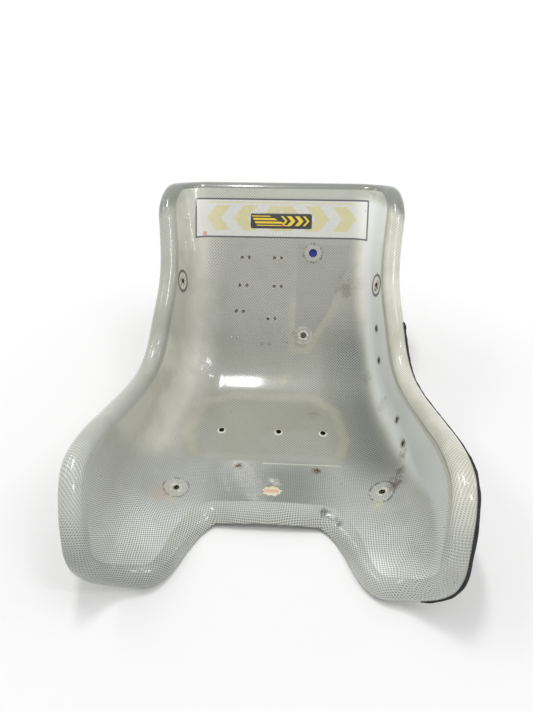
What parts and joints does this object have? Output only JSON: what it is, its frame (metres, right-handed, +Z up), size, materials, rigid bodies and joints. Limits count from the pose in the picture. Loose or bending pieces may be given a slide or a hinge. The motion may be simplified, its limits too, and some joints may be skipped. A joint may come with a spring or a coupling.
{
  "type": "kart racing seat",
  "caption": "Rigid glass-fibre kart seat: one-piece bucket with a rolled edge and a cut-out between the legs, drilled for side and base stays.",
  "frame": {"origin": "centre of the flat bottom, on the ground it stands on", "axes": "+Y to the back of the seat, +Z up, +X to the driver's left"},
  "size_m": [0.4317, 0.5837, 0.2853],
  "materials": {
    "laminate": "clear glossy resin over woven glass",
    "ply": "rough laminate",
    "panel_film": "gloss film",
    "badge_film": "gloss film",
    "tab_film": "film under resin",
    "blue_plastic": "moulded",
    "black_foam": "foam tape",
    "old_resin": "dirty resin"
  },
  "bodies": {
    "root": {"seat_shell": "laminate", "bottom_ply": "ply", "back_ply": "ply", "side_ply_left": "ply", "side_ply_right": "ply", "lower_ply_left": "ply", "lower_ply_right": "ply", "rear_panel": "panel_film", "front_badge": "badge_film", "size_tab": "tab_film", "hole_plug": "blue_plastic", "edge_guard": "black_foam", "tie_hole_fillers": "old_resin", "wall_hole_fillers": "old_resin", "base_hole_fillers": "old_resin"}
  },
  "joints": []
}
